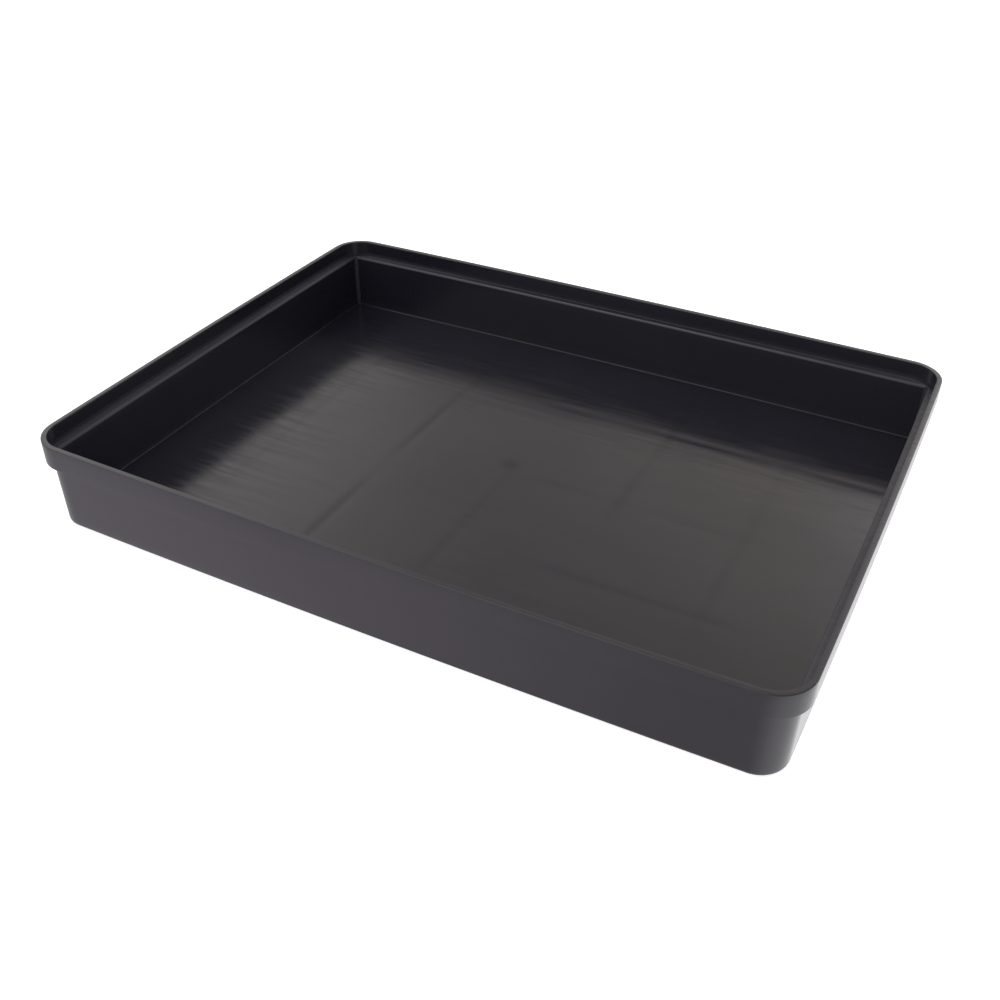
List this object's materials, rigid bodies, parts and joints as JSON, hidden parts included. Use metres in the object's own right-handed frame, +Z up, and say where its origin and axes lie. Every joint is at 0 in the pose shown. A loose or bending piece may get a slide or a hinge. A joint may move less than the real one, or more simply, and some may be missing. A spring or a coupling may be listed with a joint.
{
  "type": "paint tray",
  "caption": "Flat-bottomed rectangular paint tray in black plastic, with upright walls, rounded corners and a stepped rim band.",
  "frame": {"origin": "on the surface that the tray stands on, under the middle of the floor", "axes": "+X along the length, +Y along the width, +Z up out of the open top"},
  "size_m": [0.4, 0.3, 0.051],
  "materials": {
    "black_plastic": "semi-gloss moulded black plastic, fine-textured"
  },
  "bodies": {
    "root": {"tray_shell": "black_plastic"}
  },
  "joints": []
}
